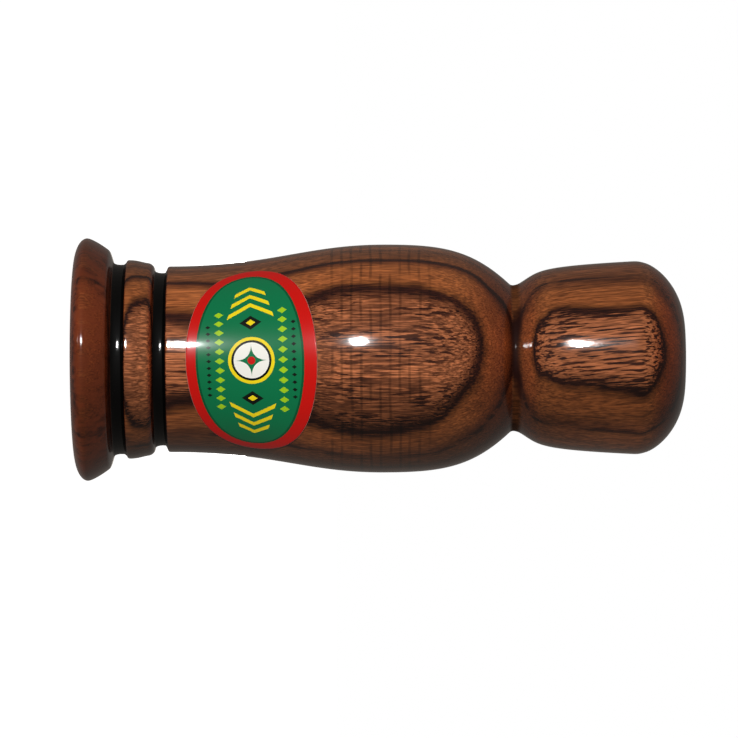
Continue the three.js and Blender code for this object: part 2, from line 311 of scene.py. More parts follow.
def along_grain(points, lean=0.07, from_height=74):
    """A point's place across, into and along the grain, in mm: the grain runs up the call's axis and
    leans sideways above a height, by the lean for each mm."""
    x, y, height = points.T
    return np.stack([x + lean * np.maximum(0, height - from_height), y, height], axis=1)


slopes = np.roll(barrel_outline, -1, axis=0) - np.roll(barrel_outline, 1, axis=0)
end_grain = np.abs(slopes[:, 0]) / np.linalg.norm(slopes, axis=1)
in_bore = np.zeros(len(barrel_outline))
top_row = int(np.argmax(barrel_outline[:, 1]))
in_bore[top_row + 4:] = 1
add_attribute(barrel, "year_rings", year_rings(barrel_points))
add_attribute(barrel, "along_grain", along_grain(barrel_points))
add_attribute(barrel, "end_grain", np.repeat(end_grain, barrel_columns))
add_attribute(barrel, "in_bore", np.repeat(in_bore, barrel_columns))


def linear(hex_colour):
    """An sRGB hex colour as the linear colour that a shader takes."""
    channels = [int(hex_colour[k:k + 2], 16) / 255 for k in (1, 3, 5)]
    return [c / 12.92 if c <= 0.04045 else ((c + 0.055) / 1.055) ** 2.4 for c in channels] + [1]


def put(tree, kind, *inputs, out=0, **settings):
    """Adds a node. Its inputs come in the node's own order, or in one dictionary by name or number,
    and each is a value or a socket to link from. Returns one of its outputs, if it has any."""
    made = tree.nodes.new("ShaderNode" + kind)
    for name, value in settings.items():
        setattr(made, name, value)
    by_name = inputs[0] if inputs and isinstance(inputs[0], dict) else dict(enumerate(inputs))
    for name, value in by_name.items():
        if isinstance(value, bpy.types.NodeSocket):
            tree.links.new(value, made.inputs[name])
        else:
            made.inputs[name].default_value = value
    return made.outputs[out] if made.outputs else None


def new_finish(name):
    """An empty material and its node tree."""
    finish = bpy.data.materials.new(name)
    finish.use_nodes = True
    finish.node_tree.nodes.clear()
    return finish, finish.node_tree


# Walnut under gloss lacquer. The wood is matt and brown, with rings, dark open pores drawn out along
# the grain and darker end grain; the lacquer over it is a clear coat, a little uneven over the pores.
walnut, tree = new_finish("lacquered_walnut")
rings = put(tree, "Attribute", out="Fac", attribute_name="year_rings")
grain = put(tree, "Attribute", out="Vector", attribute_name="along_grain")
ends = put(tree, "Attribute", out="Fac", attribute_name="end_grain")
bore = put(tree, "Attribute", out="Fac", attribute_name="in_bore")
sideways = put(tree, "SeparateXYZ", grain, out="X")
height = put(tree, "SeparateXYZ", grain, out="Z")
smooth = {"interpolation_type": "SMOOTHSTEP"}
times = {"operation": "MULTIPLY"}
times_plus = {"operation": "MULTIPLY_ADD"}
multiplied = {"blend_type": "MULTIPLY"}


def fibres(across, along, detail=2, roughness=0.5, origin=0):
    """A cloudy pattern drawn out along the grain, from the size of its patches in mm."""
    stretch = (1 / across, 1 / across, 1 / along)
    placed = put(tree, "Mapping", {"Vector": grain, "Scale": stretch, "Location": (origin,) * 3})
    noise = {"Vector": placed, "Scale": 1, "Detail": detail, "Roughness": roughness}
    return put(tree, "TexNoise", noise, out="Fac")


def together(*shares):
    """The share where all the shares hold, which is their product."""
    held = shares[0]
    for share in shares[1:]:
        held = put(tree, "Math", held, share, **times)
    return held


def within(value, rise, fall):
    """1 between two soft edges. Each edge is the pair of places where it is 0 and where it is 1."""
    risen = put(tree, "MapRange", value, *rise, **smooth)
    fallen = put(tree, "MapRange", value, *fall, **smooth)
    return together(risen, fallen)


def shade(strength, *shares):
    """A factor for a colour: 1 plus the product of the shares and the strength. A strength below 0
    darkens."""
    return put(tree, "Math", together(*shares), strength, 1.0, **times_plus)


# The rings' edges are drawn out into teeth by the pores, most inside the first ring and on the side
# that gets painted shade, and they sway a little along the grain.
mouthpiece_edge = (neck + 0.3, neck + 3.3)
# The shaded side lies toward +X, away from the key softbox. Painted shade darkens it further down.
shaded_side_edge = (1, 9)
in_mouthpiece = put(tree, "MapRange", height, *mouthpiece_edge, **smooth)
shaded_side = put(tree, "MapRange", sideways, *shaded_side_edge, **smooth)
short_pores = fibres(0.3, 5.5, detail=3, roughness=0.55)
long_pores = fibres(0.34, 30, origin=31)
inside_ring = put(tree, "MapRange", rings, -0.12, 0.17, **smooth)
tooth_growth = put(tree, "MapRange", sideways, *shaded_side_edge, 0.7, 1.2, **smooth)
tooth_size = put(tree, "Math", inside_ring, tooth_growth, 0.08, **times_plus)
teeth = put(tree, "Math", short_pores, 0.5, operation="SUBTRACT")
toothed = put(tree, "Math", teeth, tooth_size, rings, **times_plus)
sway = put(tree, "Math", fibres(5, 22, detail=1, origin=7), 0.12, -0.06, **times_plus)
uneven = put(tree, "Math", toothed, sway)

# One year's wood: from its dark line through the brown of its growth to the next dark line.
year_bands = [
    (0.0, "#260e0a"),
    (0.07, "#3a1a0e"),
    (0.16, "#6c391c"),
    (0.36, "#9b582e"),
    (0.76, "#a05a2f"),
    (0.88, "#73401f"),
    (0.95, "#35170c"),
    (1.0, "#260e0a"),
]
year_place = put(tree, "Math", uneven, 0.8, operation="MINIMUM")
year_place = put(tree, "Math", year_place, operation="FRACT")
colour = put(tree, "ValToRGB", year_place)
bands = colour.node.color_ramp.elements
for _ in year_bands[2:]:
    bands.new(0.5)
for band, (place, hex_colour) in zip(bands, year_bands):
    band.position = place
    band.color = linear(hex_colour)

# The wood behind the second ring is duller, and so are streaks of the wood before it, on the shaded
# side and in the mouthpiece. The wood inside the first ring is lighter.
older = put(tree, "MapRange", uneven, -1.03, -1.25, 0, 0.75, **smooth)
colour = put(tree, "MixRGB", older, colour, linear("#744427"))
late_wood = put(tree, "MapRange", uneven, -0.5, -0.8, **smooth)
dull_side = put(tree, "Math", in_mouthpiece, shaded_side, operation="MAXIMUM")
streaks = put(tree, "MapRange", fibres(1.0, 9, detail=1, origin=51), 0.4, 0.6, 0.1, 0.85, **smooth)
colour = put(tree, "MixRGB", together(late_wood, dull_side, streaks), colour, linear("#7c4526"))
inner = put(tree, "MapRange", uneven, 0.03, 0.2, **smooth)
colour = put(tree, "MixRGB", inner, colour, linear("#b06841"))
tone = put(tree, "MapRange", fibres(3.5, 45, origin=3), 0.3, 0.7, 0.75, 1.2)
colour = put(tree, "MixRGB", 1.0, colour, tone, **multiplied)

# The pores: short ones in patches, and long ones, which are most of the mouthpiece's. There are fewer
# outside the first ring, and fewer short ones below the barrel. Finer fibres lie over all of them.
patches = put(tree, "MapRange", fibres(2.2, 14, detail=1, origin=11), 0.35, 0.6, 0.7, 1.0, **smooth)
above_bead = put(tree, "MapRange", height, bead_end, barrel_start, 0.62, 1.0, **smooth)
inside_share = put(tree, "MapRange", uneven, -0.05, 0.1, 0.42, 0.97, **smooth)
short_share = put(tree, "MapRange", short_pores, 0.47, 0.56, **smooth)
short_by_place = put(tree, "MapRange", height, *mouthpiece_edge, 1.0, 0.25, **smooth)
short_share = together(short_share, patches, above_bead, inside_share, short_by_place)
long_share = put(tree, "MapRange", long_pores, 0.49, 0.57, **smooth)
long_by_place = put(tree, "MapRange", height, *mouthpiece_edge, 0.6, 1.0, **smooth)
long_share = together(long_share, inside_share, long_by_place)
pores = put(tree, "Math", short_share, long_share, operation="MAXIMUM")
colour = put(tree, "MixRGB", pores, colour, linear("#2c110a"))
fine = put(tree, "MapRange", fibres(0.17, 2.6, detail=1, origin=5), 0.3, 0.7, 0.52, 1.38)
colour = put(tree, "MixRGB", 1.0, colour, fine, **multiplied)

# Chatter of the gouge: faint darker lines round the belly, about 1.5 mm apart.
chatter_gap = 1.5
drifted = put(tree, "Math", fibres(12, 6, detail=1, origin=17), 0.9, height, **times_plus)
waves = put(tree, "Math", drifted, 2 * math.pi / chatter_gap, **times)
waves = put(tree, "Math", waves, operation="SINE")
crests = put(tree, "MapRange", waves, 0.3, 1.0, **smooth)
broken = put(tree, "MapRange", fibres(5, 3, detail=1, origin=13), 0.3, 0.6, **smooth)
on_belly = within(height, (38, 41), (58.5, 53))

# Shades of the wood by place: painted shade on the side away from the key softbox, which turns into
# painted bounce light at the lower rim of the bell and the mouthpiece; the top darker; the start of the
# barrel lighter; painted light on the belly's side toward the key softbox, outside the first ring; and,
# on the shaded side, the wood just inside that ring darker.
in_bell = put(tree, "MapRange", height, bell_back + 1, bell_back - 0.5, **smooth)
# Painted bounce light: the bell and the mouthpiece are lightened along their lower rim, on the shaded side.
bounce_lit_ends = put(tree, "Math", in_mouthpiece, in_bell)
bounce_lit_rim = put(tree, "MapRange", sideways, 9.5, 14, **smooth)
side_shade_growth = put(tree, "MapRange", height, *mouthpiece_edge, 1.0, 1.6, **smooth)
barrel_foot = put(tree, "MapRange", height, 26, 15, **smooth)
inside_first = put(tree, "MapRange", uneven, -0.1, 0.1, **smooth)
key_lit_side = put(tree, "MapRange", sideways, -2, -9, **smooth)
below_shoulder = put(tree, "MapRange", height, 64, 58, **smooth)
outside_first = put(tree, "MapRange", uneven, 0.1, -0.05, **smooth)
for factor in (
    # Painted shade on the side away from the key softbox, and painted bounce light at its lower rim.
    shade(-0.32, shaded_side, shade(-1.9, bounce_lit_ends, bounce_lit_rim), side_shade_growth),
    put(tree, "MapRange", height, 63, 70, 1.0, 0.91, **smooth),
    shade(0.24, barrel_foot, inside_first),
    # Painted light on the belly's side toward the key softbox.
    shade(0.2, key_lit_side, below_shoulder, outside_first),
    shade(-0.45, shaded_side, within(uneven, (-0.1, 0.05), (0.75, 0.05))),
    shade(-0.42, crests, broken, on_belly),
):
    colour = put(tree, "MixRGB", 1.0, colour, factor, **multiplied)

# End grain is redder and darker. So is the whole bell, which is mottled and has painted light on its
# upper side, toward the key softbox. The bead and the bell are darker than the barrel.
on_end_grain = put(tree, "MapRange", ends, 0.25, 0.8, **smooth)
colour = put(tree, "MixRGB", on_end_grain, colour, linear("#d6a78e"), **multiplied)
colour = put(tree, "MixRGB", in_bell, colour, linear("#cebab6"), **multiplied)
bead_tone = put(tree, "MapRange", height, bead_end, barrel_start, 0.72, 1.0, **smooth)
colour = put(tree, "MixRGB", 1.0, colour, bead_tone, **multiplied)
mottle = put(tree, "MapRange", fibres(1.2, 5, detail=3, origin=41), 0.35, 0.65, 0.1, 0.85, **smooth)
colour = put(tree, "MixRGB", together(in_bell, mottle), colour, linear("#5f2812"))
# Painted light on the bell's upper side.
bell_lit_side = shade(0.32, in_bell, within(sideways, (-16, -10), (2, -6)))
colour = put(tree, "MixRGB", 1.0, colour, bell_lit_side, **multiplied)

# The neck has a dark line where the second ring crosses it, and painted shade darkens its narrowest
# part, a crease. The bore is darker too, and the two grooves are stained black.
neck_line = within(height, (neck - 0.5, neck), (neck + 1.5, neck + 0.9))
neck_line = together(neck_line, within(uneven, (-1.45, -1.15), (-0.75, -0.95)), 0.85)
colour = put(tree, "MixRGB", neck_line, colour, linear("#260e0a"))
neck_bottom = within(height, (neck - 0.7, neck - 0.1), (neck + 1.3, neck + 0.5))
# Painted shade in the neck's narrowest part.
colour = put(tree, "MixRGB", 1.0, colour, shade(-0.3, neck_bottom), **multiplied)
colour = put(tree, "MixRGB", together(bore, 0.5), colour, linear("#1d0f09"))
cross_section = put(tree, "VectorMath", grain, (1, 1, 0), operation="MULTIPLY")
radius = put(tree, "VectorMath", cross_section, out="Value", operation="LENGTH")
first_band = within(height, (bell_back + 0.35, bell_back + 0.75), (bead_start + 0.2, bead_start))
second_band = within(height, (bead_end - 0.1, bead_end + 0.2), (barrel_start + 0.3, barrel_start))
outer_wood = put(tree, "MapRange", radius, 12.4, 12.8, **smooth)
stained = put(tree, "Math", first_band, second_band, operation="MAXIMUM")
stained = together(stained, outer_wood)
colour = put(tree, "MixRGB", stained, colour, linear("#020202"))

# The pores dent the wood, and the lacquer over them far less. There is next to no gloss in the neck's
# narrowest part, and less of it on the stain.
wood_dents = {"Strength": 0.35, "Distance": 0.00003, "Height": short_pores}
lacquer_waves = put(tree, "Math", short_pores, 0.8, fibres(0.7, 1.6, origin=21), **times_plus)
lacquer_dents = {"Strength": 1.0, "Distance": 0.000008, "Height": lacquer_waves}
thin_lacquer = put(tree, "Math", neck_bottom, together(stained, 0.6), operation="MAXIMUM")
shader = put(tree, "BsdfPrincipled", {
    "Base Color": colour,
    "Roughness": 0.6,
    "IOR": 1.45,
    "Specular IOR Level": 0.06,
    "Normal": put(tree, "Bump", wood_dents, out="Normal"),
    "Coat Weight": shade(-0.97, thin_lacquer),
    "Coat Roughness": 0.085,
    "Coat IOR": 1.5,
    "Coat Normal": put(tree, "Bump", lacquer_dents, out="Normal"),
})
put(tree, "OutputMaterial", {"Surface": shader})
barrel.data.materials.append(walnut)
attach(barrel, "call_body")
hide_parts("barrel")


# The sticker: a die-cut oval of printed vinyl, wrapped round the barrel and pressed down at its edge.
# Its print is a plain badge: a compass star in a roundel between chevrons and rows of diamonds.
label_length = 20.35
label_width = 33.6
label_above_barrel_end = 13.45
label_tilt = math.radians(1.5)
label_aside = 0.25
label_lift = 0.17
label_back_lift = 0.01
label_edge = 0.16
label_press = 0.6
label_rings = 60
label_spokes = 200


def wrapped(across, along, lift):
    """Wraps flat places round the barrel: a place across becomes an angle at the radius of the
    label's middle, and a place along a height, at that height's radius plus the lift."""
    middle = barrel_start + label_above_barrel_end
    heights, radii = barrel_rows[:, 1], barrel_rows[:, 0]
    height = middle + along * math.cos(label_tilt) + across * math.sin(label_tilt)
    aside = label_aside + across * math.cos(label_tilt) - along * math.sin(label_tilt)
    turn = aside / np.interp(middle, heights, radii)
    radius = np.interp(height, heights, radii) + lift
    return np.stack([radius * np.sin(turn), -radius * np.cos(turn), height], axis=-1)


ring_share = np.sin(np.linspace(0, math.pi / 2, label_rings))
ring_share = 0.5 * ring_share + 0.5 * np.linspace(0, 1, label_rings)
spoke = np.arange(label_spokes) * 2 * math.pi / label_spokes
across = label_width / 2 * ring_share[1:, None] * np.cos(spoke)
along = label_length / 2 * ring_share[1:, None] * np.sin(spoke)
to_edge = (1 - ring_share[1:, None]) * label_length / 2 + 0 * across
rounding = 1 - np.sqrt(np.clip(1 - (1 - np.clip(to_edge / label_edge, 0, 1)) ** 2, 0, 1))
face = wrapped(across, along, label_lift * (1 - label_press * rounding))
back = wrapped(across, along, label_back_lift)
flat = np.stack([across, along], axis=-1).reshape(-1, 2)
middle = np.zeros(1)
ring_count = label_rings - 1
label_points = np.vstack([
    wrapped(middle, middle, label_lift),
    face.reshape(-1, 3),
    wrapped(middle, middle, label_back_lift),
    back.reshape(-1, 3),
])
label_flat = np.vstack([[[0, 0]], flat, [[0, 0]], flat])
quads = 1 + woven(ring_count - 1, label_spokes)[:, [0, 3, 2, 1]]
skin = 1 + ring_count * label_spokes
spokes, next_spokes = np.arange(label_spokes), (np.arange(label_spokes) + 1) % label_spokes
fan = np.stack([0 * spokes, 1 + spokes, 1 + next_spokes], axis=-1)
rim = 1 + (ring_count - 1) * label_spokes
wall = np.stack([rim + spokes, skin + rim + spokes, skin + rim + next_spokes, rim + next_spokes], axis=-1)
label_faces = [
    *quads.tolist(),
    *fan.tolist(),
    *(quads[:, ::-1] + skin).tolist(),
    *(fan[:, ::-1] + skin).tolist(),
    *wall.tolist(),
]
label = solid("wrapped_label", label_points, label_faces, crease=50)
flat_map = label.data.uv_layers.new(name="flat")
corner_vertices = np.zeros(len(label.data.loops), int)
label.data.loops.foreach_get("vertex_index", corner_vertices)
flat_map.data.foreach_set("uv", (0.5 + label_flat / [label_width, label_length])[corner_vertices].ravel())

# Printed vinyl: opaque inks under a clear glossy film, smooth to the eye.
vinyl, tree = new_finish("printed_vinyl")
flat_mm = put(tree, "Mapping", {
    "Vector": put(tree, "UVMap", uv_map="flat"),
    "Location": (-label_width / 2, -label_length / 2, 0),
    "Scale": (label_width, label_length, 0),
})
parts = put(tree, "SeparateXYZ", flat_mm).node
u = put(tree, "Math", parts.outputs["X"], operation="ABSOLUTE")
v = put(tree, "Math", parts.outputs["Y"], operation="ABSOLUTE")


def inside_oval(inset, slip=0.0):
    """1 inside the label's oval drawn in by the inset and moved toward the bell by the slip."""
    sizes = (label_width / 2 - inset, label_length / 2 - inset, 1)
    moved = put(tree, "VectorMath", flat_mm, (0, slip, 0), operation="ADD")
    shares = put(tree, "VectorMath", moved, sizes, operation="DIVIDE")
    reach = put(tree, "VectorMath", shares, out="Value", operation="LENGTH")
    return put(tree, "Math", reach, 1.0, operation="LESS_THAN")


def inside_disc(size):
    """1 nearer to the label's middle than the size."""
    reach = put(tree, "VectorMath", flat_mm, out="Value", operation="LENGTH")
    return put(tree, "Math", reach, size, operation="LESS_THAN")


def inside_star(long, short):
    """1 inside a four-pointed star with hollow sides: the roots of the two shares sum to less than 1."""
    roots = []
    for place, size in ((u, long), (v, short)):
        share = put(tree, "Math", place, size, operation="DIVIDE")
        roots.append(put(tree, "Math", share, operation="SQRT"))
    return put(tree, "Math", put(tree, "Math", *roots), 1.0, operation="LESS_THAN")


def inside_diamond(centre_u, centre_v, half_u, half_v, spacing=0.0):
    """1 inside a diamond, or a row of them at a spacing along the label's width: the two shares of
    the way to its points sum to less than 1."""
    if spacing:
        from_u = put(tree, "Math", u, spacing / 2, operation="PINGPONG")
    else:
        from_u = put(tree, "Math", u, centre_u, operation="SUBTRACT")
        from_u = put(tree, "Math", from_u, operation="ABSOLUTE")
    from_v = put(tree, "Math", v, centre_v, operation="SUBTRACT")
    from_v = put(tree, "Math", from_v, operation="ABSOLUTE")
    share_u = put(tree, "Math", from_u, half_u, operation="DIVIDE")
    share_v = put(tree, "Math", from_v, half_v, operation="DIVIDE")
    return put(tree, "Math", put(tree, "Math", share_u, share_v), 1.0, operation="LESS_THAN")


# Two rows of diamonds with a row of dots outside each, and three chevrons at each end: stripes that
# bend back from the middle, cut off along a slope.
row_end = put(tree, "Math", u, 8.3, operation="LESS_THAN")
diamonds = together(inside_diamond(0, 4.9, 0.5, 0.75, spacing=1.5), row_end)
dots_end = put(tree, "Math", u, 6.1, operation="LESS_THAN")
dots = together(inside_diamond(0, 6.6, 0.28, 0.4, spacing=1.1), dots_end)
chevron_start, chevron_gap, chevron_end = 8.6, 1.6, 13.2
bend = put(tree, "Math", v, 0.55, u, **times_plus)
past_start = put(tree, "Math", bend, chevron_start, operation="GREATER_THAN")
before_end = put(tree, "Math", bend, chevron_end, operation="LESS_THAN")
stripes = put(tree, "Math", bend, chevron_start, operation="SUBTRACT")
stripes = put(tree, "Math", stripes, chevron_gap, operation="DIVIDE")
stripes = put(tree, "Math", stripes, operation="FRACT")
on_stripe = put(tree, "Math", stripes, 0.42, operation="LESS_THAN")
slope = put(tree, "Math", u, -0.3, 5.6, **times_plus)
below_slope = put(tree, "Math", v, slope, operation="LESS_THAN")
chevrons = together(on_stripe, past_start, before_end, below_slope)

# The print from the bottom up: the cut edge, the red border, the green field, which sits a little
# toward the bell, the rows and chevrons, the diamonds on both sides of the roundel, and the compass
# star in it.
border = 1.77
border_slip = 0.23
red_ink, green_ink, yellow_ink, black_ink = "#c5120c", "#0a7145", "#f0d51b", "#0c1410"
ink = linear("#c98f84")
for mask, hex_colour in (
    (inside_oval(0.06), red_ink),
    (inside_oval(border, border_slip), "#04502e"),
    (inside_oval(border + 0.35, border_slip), green_ink),
    (diamonds, "#9fc81e"),
    (dots, black_ink),
    (chevrons, yellow_ink),
    (inside_diamond(5.9, 0, 1.15, 1.7), black_ink),
    (inside_diamond(5.9, 0, 0.5, 0.75), yellow_ink),
    (inside_disc(3.6), yellow_ink),
    (inside_disc(3.1), black_ink),
    (inside_disc(2.75), "#f1efe6"),
    (inside_star(2.6, 2.6), green_ink),
    (inside_disc(0.6), red_ink),
):
    ink = put(tree, "MixRGB", mask, ink, linear(hex_colour))
shader = put(tree, "BsdfPrincipled", {
    "Base Color": ink,
    "Roughness": 0.3,
    "Specular IOR Level": 0.1,
    "Coat Weight": 0.8,
    "Coat Roughness": 0.08,
    "Coat IOR": 1.46,
})
put(tree, "OutputMaterial", {"Surface": shader})
label.data.materials.append(vinyl)
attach(label, "call_body")
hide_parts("label")


# The reed unit's collar: a black plastic plug turned from rod, which fills the bore. It has two ring
# grooves round it and chamfered ends, and every edge is broken.
collar_heel = 33.9
collar_front = 49.9
collar_radius = 7.7575
collar_bore_radius = 5.3575
collar_chamfer = 0.6
collar_bore_chamfer = 0.3
ring_groove_radius = 6.2375
ring_groove_half = 0.85
rear_ring_height = 37.1
front_ring_height = 46.7

collar_outline = Outline(collar_bore_radius + collar_bore_chamfer, collar_heel)
collar_outline.line(collar_radius - collar_chamfer, collar_heel)
collar_outline.line(collar_radius, collar_heel + collar_chamfer)
for ring_height in (rear_ring_height, front_ring_height):
    collar_outline.line(collar_radius, ring_height - ring_groove_half)
    collar_outline.line(ring_groove_radius, ring_height - ring_groove_half)
    collar_outline.line(ring_groove_radius, ring_height + ring_groove_half)
    collar_outline.line(collar_radius, ring_height + ring_groove_half)
collar_outline.line(collar_radius, collar_front - collar_chamfer)
collar_outline.line(collar_radius - collar_chamfer, collar_front)
collar_outline.line(collar_bore_radius + collar_bore_chamfer, collar_front)
collar_outline.line(collar_bore_radius, collar_front - collar_bore_chamfer)
collar_outline.line(collar_bore_radius, collar_heel + collar_bore_chamfer)
collar_rows = paced(sanded(collar_outline.rows, edge=0.05, step=0.025), longest=0.9, sharpest=0.2)
collar = solid("turned_collar", *turned(collar_rows, 96))

# Black acetal: satin and nearly black, with fine turning marks that break up its highlights.
acetal, tree = new_finish("black_acetal")
place = put(tree, "TexCoord", out="Object")
round_and_round = put(tree, "Mapping", {"Vector": place, "Scale": (60, 60, 9000)})
marks = put(tree, "TexNoise", {"Vector": round_and_round, "Scale": 1, "Detail": 2})
mark_dents = {"Strength": 0.5, "Distance": 0.00001, "Height": marks}
wear = put(tree, "TexNoise", {"Vector": place, "Scale": 900, "Detail": 3})
shader = put(tree, "BsdfPrincipled", {
    "Base Color": put(tree, "MixRGB", wear, linear("#141416"), linear("#26262a")),
    "Roughness": put(tree, "MapRange", wear, 0.3, 0.7, 0.3, 0.45, **smooth),
    "Specular IOR Level": 0.5,
    "Normal": put(tree, "Bump", mark_dents, out="Normal"),
})
put(tree, "OutputMaterial", {"Surface": shader})
collar.data.materials.append(acetal)
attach(collar, "reed_unit")
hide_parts("reed_collar")


# The two O-rings, each moulded of black rubber in a mould of two halves: a fine raised line runs round
# its outer side where they met. They sit in the collar's grooves and grip the bore.
o_ring_radius = 7.0875
o_ring_section = 0.75
o_ring_sides = 48
parting_line = 0.03
parting_line_angle = 0.09

# Nitrile rubber: matt black with a faint grey bloom, which keeps its highlight wide and dull.
rubber, tree = new_finish("nitrile_rubber")
place = put(tree, "TexCoord", out="Object")
bloom = put(tree, "TexNoise", {"Vector": place, "Scale": 1400, "Detail": 4, "Roughness": 0.7})
shader = put(tree, "BsdfPrincipled", {
    "Base Color": put(tree, "MixRGB", bloom, linear("#101010"), linear("#232322")),
    "Roughness": put(tree, "MapRange", bloom, 0.3, 0.7, 0.6, 0.75, **smooth),
    "Specular IOR Level": 0.4,
})
put(tree, "OutputMaterial", {"Surface": shader})

for node, ring_height in (("front_o_ring", front_ring_height), ("rear_o_ring", rear_ring_height)):
    around = np.arange(o_ring_sides) * 2 * math.pi / o_ring_sides - math.pi / 2
    section = o_ring_section + parting_line * np.exp(-((around / parting_line_angle) ** 2))
    outward, upward = section * np.cos(around), section * np.sin(around)
    ring_rows = np.stack([o_ring_radius + outward, ring_height + upward], axis=1)
    ring = solid(f"moulded_{node}", *turned(ring_rows, 128))
    ring.data.materials.append(rubber)
    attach(ring, "reed_unit")
    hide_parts(node)


# The tone trough: half-round, with flat rails on both sides of a channel that tapers toward its round
# nose. The reed beats on the rails. It is moulded, so every edge is rounded.
trough_radius = 5.2075
trough_heel = 34.05
trough_nose = 78.05
nose_round = 4.2
rail_level = 0.4
channel_width = 5
channel_depth = 3.6
channel_tip_width = 3.4
channel_tip_depth = 1.9
channel_taper_start = 49.9
channel_taper_end = 70.35
channel_floor_round = 1.5
rail_edge = 0.12
heel_edge = 0.25


def rounded_corner(before, corner, after, size, steps=4):
    """Points of a curve that cuts off a corner: it leaves the side toward the point before and meets
    the side toward the point after, each at the size from the corner."""
    before, corner, after = np.array(before), np.array(corner), np.array(after)
    start = corner + (before - corner) * size / np.linalg.norm(before - corner)
    finish = corner + (after - corner) * size / np.linalg.norm(after - corner)
    t = np.linspace(0, 1, steps)[:, None]
    return (1 - t) ** 2 * start + 2 * (1 - t) * t * corner + t**2 * finish


def round_side(radius, level, side, edge, steps=40):
    """The round side of a half-round piece with a flat at a level: an arc on the +Y side or, with side
    -1, on the -Y side, which ends in two rounded corners. The points run counter-clockwise."""
    flat_half = math.sqrt(radius**2 - level**2)
    start = math.asin(side * level / radius) + edge / radius
    angle = np.linspace(start, math.pi - start, steps)
    arc = np.stack([side * radius * np.cos(angle), side * radius * np.sin(angle)], axis=1)
    first, last = (side * flat_half, level), (-side * flat_half, level)
    first_corner = rounded_corner(last, first, arc[0], edge)
    last_corner = rounded_corner(arc[-1], last, first, edge)
    return np.vstack([first_corner, arc[1:-1], last_corner])


def lofted(name, loops, crease=40):
    """A solid through equal loops of (x, y, height) points that run counter-clockwise seen from above
    and are given from the lowest to the highest. Its ends are closed."""
    loops = np.array(loops)
    count, size = loops.shape[:2]
    sides = woven(count - 1, size).tolist()
    ends = [list(range(size))[::-1], list(range((count - 1) * size, count * size))]
    return solid(name, loops.reshape(-1, 3), sides + ends, crease)


def at_height(loop, height):
    """A flat loop of (x, y) points at a height."""
    return np.column_stack([loop, np.full(len(loop), height)])


def trough_loop(height, radius, half, depth):
    """The trough's section: its round side, then along the left rail, through the channel and back
    along the right rail. The channel has upright walls above an elliptical floor."""
    edge = min(rail_edge, 0.4 * half, 0.4 * max(depth, 0.02))
    floor_round = min(channel_floor_round, 0.8 * depth)
    angle = np.linspace(math.pi, 0, 17)
    floor = np.stack([half * np.cos(angle), rail_level + depth - floor_round * (1 - np.sin(angle))], axis=1)
    left, right = (-half, rail_level), (half, rail_level)
    return at_height(np.vstack([
        round_side(radius, rail_level, 1, rail_edge),
        rounded_corner((-radius, rail_level), left, floor[0], edge),
        floor,
        rounded_corner(floor[-1], right, (radius, rail_level), edge),
    ]), height)


# From the heel up: the rounded edge, the channel and its taper, its round end, the solid part past
# the channel, where each section keeps a slit that is too fine to see, and the nose.
slit_half = 0.2
slit_depth = 0.002
last_turn = 1.43
trough_loops = []
for turn in np.linspace(0, math.pi / 2, 5):
    height = trough_heel + heel_edge * (1 - math.cos(turn))
    edge_radius = trough_radius - heel_edge * (1 - math.sin(turn))
    trough_loops.append(trough_loop(height, edge_radius, channel_width / 2, channel_depth))
for height in np.linspace(trough_heel + 1.5, channel_taper_end, 40):
    share = max(0, (height - channel_taper_start) / (channel_taper_end - channel_taper_start))
    half = (channel_width + (channel_tip_width - channel_width) * share) / 2
    depth = channel_depth + (channel_tip_depth - channel_depth) * share
    trough_loops.append(trough_loop(height, trough_radius, half, depth))
for turn in np.linspace(0, last_turn, 12)[1:]:
    height = channel_taper_end + channel_tip_width / 2 * math.sin(turn)
    half = channel_tip_width / 2 * math.cos(turn)
    trough_loops.append(trough_loop(height, trough_radius, half, channel_tip_depth))
channel_end = channel_taper_end + channel_tip_width / 2 + 0.02
for height in np.linspace(channel_end, trough_nose - nose_round, 3):
    trough_loops.append(trough_loop(height, trough_radius, slit_half, slit_depth))
for turn in np.linspace(0, last_turn, 16)[1:]:
    height = trough_nose - nose_round * (1 - math.sin(turn))
    nose_radius = trough_radius - nose_round * (1 - math.cos(turn))
    trough_loops.append(trough_loop(height, nose_radius, slit_half, slit_depth))
trough = lofted("moulded_trough", trough_loops)

# White acetal: a satin off-white with faint flow marks along the moulding.
white_acetal, tree = new_finish("white_acetal")
place = put(tree, "TexCoord", out="Object")
lengthwise = put(tree, "Mapping", {"Vector": place, "Scale": (500, 500, 60)})
flow = put(tree, "TexNoise", {"Vector": lengthwise, "Scale": 1, "Detail": 3, "Distortion": 0.6})
flow_dents = {"Strength": 0.3, "Distance": 0.00001, "Height": flow}
shader = put(tree, "BsdfPrincipled", {
    "Base Color": put(tree, "MixRGB", flow, linear("#d3cdbd"), linear("#e9e5d9")),
    "Roughness": put(tree, "MapRange", flow, 0.3, 0.7, 0.32, 0.45, **smooth),
    "Normal": put(tree, "Bump", flow_dents, out="Normal"),
})
put(tree, "OutputMaterial", {"Surface": shader})
trough.data.materials.append(white_acetal)
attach(trough, "reed_unit")
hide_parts("tone_trough")


# The reed: a strip of thin polyester film with a round tip. Its heel lies flat and its free end bends
# away from the rails by the square of the way from the collar.
reed_half = 4
reed_thickness = 0.25
reed_heel = 35.9
reed_top = 0.25
reed_bend_start = 49.9
reed_tip_start = 70.45
reed_lift = 1.1

